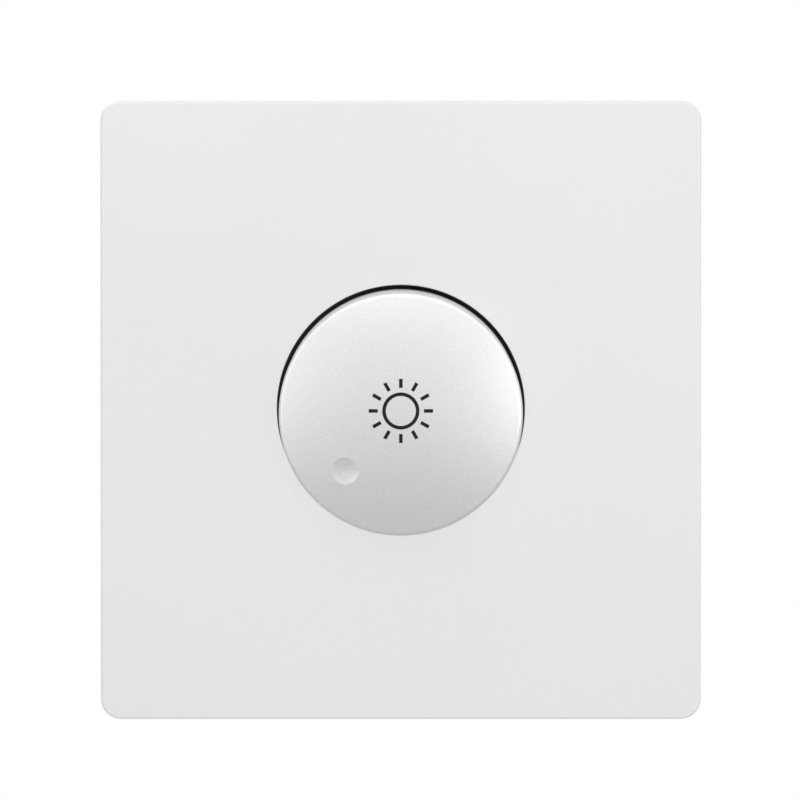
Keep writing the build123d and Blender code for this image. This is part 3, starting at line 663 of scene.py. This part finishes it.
WIRE_RADIUS = 0.00036
TURNS = 12
TURN_POINTS = 40
WIRE_POINTS = 8
drum_low, drum_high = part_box("choke_winding")
coil_sizes = {
    "Coil Radius": (drum_high.x - drum_low.x) / 2 - WIRE_RADIUS, "Wire Radius": WIRE_RADIUS,
    "First": drum_low.y + WIRE_RADIUS, "Last": drum_high.y - WIRE_RADIUS, "Turns": TURNS,
    "Centre X": (drum_low.x + drum_high.x) / 2, "Centre Z": (drum_low.z + drum_high.z) / 2,
}


def wire_turns_tree(material):
    """Rings of round wire stacked along the drum."""
    tree, size = growing_tree("wire_turns", coil_sizes)

    def circle(points, radius):
        values = {"Resolution": points, "Radius": radius}
        return add_node(tree, "GeometryNodeCurvePrimitiveCircle", values)["Curve"]

    def drum_end(depth):
        values = {"X": size["Centre X"], "Y": size[depth], "Z": size["Centre Z"]}
        return add_node(tree, "ShaderNodeCombineXYZ", values)["Vector"]

    turn = circle(TURN_POINTS, size["Coil Radius"])
    wire = circle(WIRE_POINTS, size["Wire Radius"])
    ring = add_node(tree, "GeometryNodeCurveToMesh", {"Curve": turn, "Profile Curve": wire})["Mesh"]
    values = {"Geometry": ring, "Rotation": (math.pi / 2, 0.0, 0.0)}
    upright = add_node(tree, "GeometryNodeTransform", values)["Geometry"]
    values = {"Count": size["Turns"], "Start Location": drum_end("First"), "Offset": drum_end("Last")}
    line = add_node(tree, "GeometryNodeMeshLine", values, mode="END_POINTS")["Mesh"]
    values = {"Points": line, "Instance": upright}
    stack = add_node(tree, "GeometryNodeInstanceOnPoints", values)["Instances"]
    return finish_tree(tree, stack, material)


enamelled_wire = worked_metal("enamelled_wire", (0.5, 0.17, 0.06), (0.62, 0.24, 0.09), (0.22, 0.35), 1500.0)
ferrite = moulded_plastic("ferrite", (0.05, 0.05, 0.052), (0.085, 0.084, 0.083), (0.5, 0.7), 2500.0, 0.00001)
winding_turns = grown_piece("winding_turns", wire_turns_tree(enamelled_wire), coil_sizes, enamelled_wire)
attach(winding_turns, "switch_base")
dress(enamelled_wire, "choke_winding")
dress(ferrite, "choke_core")

# Capacitors: film elements potted with resin in glossy yellow moulded boxes.
# They stand on the board on their own leads.

film_yellow = moulded_plastic(
    "film_yellow", (0.74, 0.5, 0.05), (0.8, 0.56, 0.08), (0.18, 0.28), 2500.0, 0.000002
)
dress(film_yellow, "filter_capacitor", "timing_capacitor")

# Resistors and trigger diode: lacquered or glass bodies with painted rings, on bent tinned leads.
# They lie upright a little off the board, with their leads bent back into it.

BODY_HALF = 0.31                # half a body's length, as a share of the length over its leads
BODY_EDGE = 0.005
TAN, TIN = (0.5, 0.36, 0.22), (0.66, 0.66, 0.65)
BROWN, BLACK, ORANGE, GOLD = (0.12, 0.04, 0.02), (0.01, 0.01, 0.01), (0.7, 0.2, 0.03), (0.55, 0.38, 0.1)
BLUE = (0.04, 0.1, 0.32)
RESISTOR_RINGS = [
    (0.28, BROWN), (0.33, TAN), (0.4, BLACK), (0.45, TAN),
    (0.52, ORANGE), (0.57, TAN), (0.7, GOLD), (0.75, TAN),
]
DIODE_RINGS = [(0.29, BLUE), (0.7, TIN)]


def ringed_body(node, ground, rings):
    """A lacquered body whose painted rings lie across its length; the leads beyond it are tinned."""
    material, tree, shader = new_material(node + "_paint")
    low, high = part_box(node)
    along = spread_over(tree, object_axes(tree)["Z"], low.z, high.z)
    bands = tree.nodes.new("ShaderNodeValToRGB")
    tree.links.new(along, bands.inputs["Fac"])
    bands.color_ramp.interpolation = "CONSTANT"
    stops = bands.color_ramp.elements
    stops[1].position = 0.5 + BODY_HALF
    for stop in stops:
        stop.color = (*TIN, 1.0)
    for position, colour in [(0.5 - BODY_HALF, ground), *rings]:
        stops.new(position).color = (*colour, 1.0)
    off_middle = work_out(tree, "ABSOLUTE", work_out(tree, "SUBTRACT", along, 0.5))
    set_inputs(tree, shader, {
        "Base Color": bands.outputs["Color"],
        "Metallic": spread_over(tree, off_middle, BODY_HALF - BODY_EDGE, BODY_HALF + BODY_EDGE),
        "Roughness": 0.35,
    })
    return material


dress(ringed_body("resistors", TAN, RESISTOR_RINGS), "resistors")
dress(ringed_body("trigger_diode", TIN, DIODE_RINGS), "trigger_diode")

# Fuse: a clear glass tube between nickel-plated caps.
# Two clips of bent spring strip, soldered to the board, hold it by its caps.

fuse_glass = skinned_material(
    "fuse_glass", moulded_skin, {"Grain Scale": 400.0, "Grain Height": 0.000004},
    (0.9, 0.94, 0.93), (0.97, 0.98, 0.98), (0.02, 0.06), {"Transmission Weight": 1.0, "IOR": 1.5},
)
dress(fuse_glass, "fuse_tube")
dress(nickel_plate, "fuse_caps")
dress(spring_strip, "fuse_clips")

# Studio: a pale paper floor a hand's breadth below the object, and a white surround.
# Large soft boxes stand above, left, right and behind.

FLOOR_LEVEL = -0.14
FLOOR_HALF = 15.0
FLOOR_GREY = (0.8, 0.8, 0.8)
FLOOR_PLAIN_RADIUS = 0.35
FLOOR_WHITE_RADIUS = 0.7
SURROUND_WHITE = (1.0, 1.0, 1.0)
AMBIENT = 0.42


def camera_or_shine(tree):
    """1 for a ray from the camera, or one that a mirror or glass sends on; 0 for light that scatters."""
    path = add_node(tree, "ShaderNodeLightPath", {})
    seen = work_out(tree, "MAXIMUM", path["Is Camera Ray"], path["Is Glossy Ray"])
    return work_out(tree, "MAXIMUM", seen, path["Is Transmission Ray"])


def floor_paper():
    """White paper: plain near the object, where it takes the shadow, and pure white further off."""
    material, tree, shader = new_material("floor_paper")
    set_inputs(tree, shader, {"Base Color": FLOOR_GREY, "Roughness": 0.9, "Specular IOR Level": 0.1})
    distance = add_node(
        tree, "ShaderNodeVectorMath", {0: object_place(tree)}, operation="LENGTH"
    )["Value"]
    away = spread_over(tree, distance, FLOOR_PLAIN_RADIUS, FLOOR_WHITE_RADIUS)
    glow = add_node(tree, "ShaderNodeEmission", {})["Emission"]
    surface = add_node(tree, "ShaderNodeMixShader", {
        "Fac": work_out(tree, "MULTIPLY", away, camera_or_shine(tree)), 1: shader.outputs["BSDF"], 2: glow,
    })["Shader"]
    set_inputs(tree, tree.nodes["Material Output"], {"Surface": surface})
    return material


floor_mesh = bpy.data.meshes.new("floor")
corners = [(x * FLOOR_HALF, y * FLOOR_HALF, 0.0) for x, y in ((-1, -1), (1, -1), (1, 1), (-1, 1))]
floor_mesh.from_pydata(corners, [], [(0, 1, 2, 3)])
floor_mesh.materials.append(floor_paper())
floor = bpy.data.objects.new("floor", floor_mesh)
floor.location.z = FLOOR_LEVEL
bpy.context.collection.objects.link(floor)

world = bpy.data.worlds.new("surround")
bpy.context.scene.world = world
world.use_nodes = True
surround = world.node_tree
set_inputs(surround, surround.nodes["Background"], {
    "Color": SURROUND_WHITE,
    "Strength": spread_over(surround, camera_or_shine(surround), low=AMBIENT, high=1.0),
})


def soft_lamp(name, place, size, power):
    """A rectangular softbox aimed at the middle of the object."""
    light = bpy.data.lights.new(name, "AREA")
    light.shape = "RECTANGLE"
    light.size, light.size_y = size
    light.energy = power
    lamp = bpy.data.objects.new(name, light)
    lamp.location = place
    lamp.rotation_mode = "QUATERNION"
    lamp.rotation_quaternion = (-Vector(place)).to_track_quat("-Z", "Y")
    bpy.context.collection.objects.link(lamp)
    return lamp


# the three boxes in front stand for one wide tent of light, in which the knob shades nothing
shadowless = bpy.data.collections.new("shadowless")
shadowless.objects.link(nodes["knob"])
shadowless.collection_objects[0].light_linking.link_state = "EXCLUDE"
for name, place, size, power in (
    ("top_box", (0.0, -0.25, 0.34), (0.5, 0.25), 0.74),
    ("left_box", (-0.6, -0.55, 0.07), (0.3, 0.6), 1.03),
    ("right_box", (0.6, -0.55, -0.02), (0.3, 0.6), 2.12),
):
    soft_lamp(name, place, size, power).light_linking.blocker_collection = shadowless
soft_lamp("back_box", (-0.3, 0.6, 0.45), (0.5, 0.5), 1.6)

# Camera: five degrees above the knob's axis, far away with a long lens.
# The plate then fills the frame as it does in a product picture.

CAMERA_RISE = math.radians(5.0)
LENS_MM = 1100.0
SENSOR_MM = 36.0
VIEW_WIDTH = 0.11460
AIM = Vector((-0.00012, -0.008, 0.00122))
camera_data = bpy.data.cameras.new("camera")
camera_data.lens = LENS_MM
camera_data.sensor_width = SENSOR_MM
camera_data.clip_end = 100.0
camera = bpy.data.objects.new("camera", camera_data)
backward = Vector((0.0, -math.cos(CAMERA_RISE), math.sin(CAMERA_RISE)))
camera.location = AIM + backward * (VIEW_WIDTH * LENS_MM / SENSOR_MM)
camera.rotation_mode = "QUATERNION"
camera.rotation_quaternion = (-backward).to_track_quat("-Z", "Y")
bpy.context.collection.objects.link(camera)
bpy.context.scene.camera = camera
bpy.context.scene.view_settings.view_transform = "Standard"
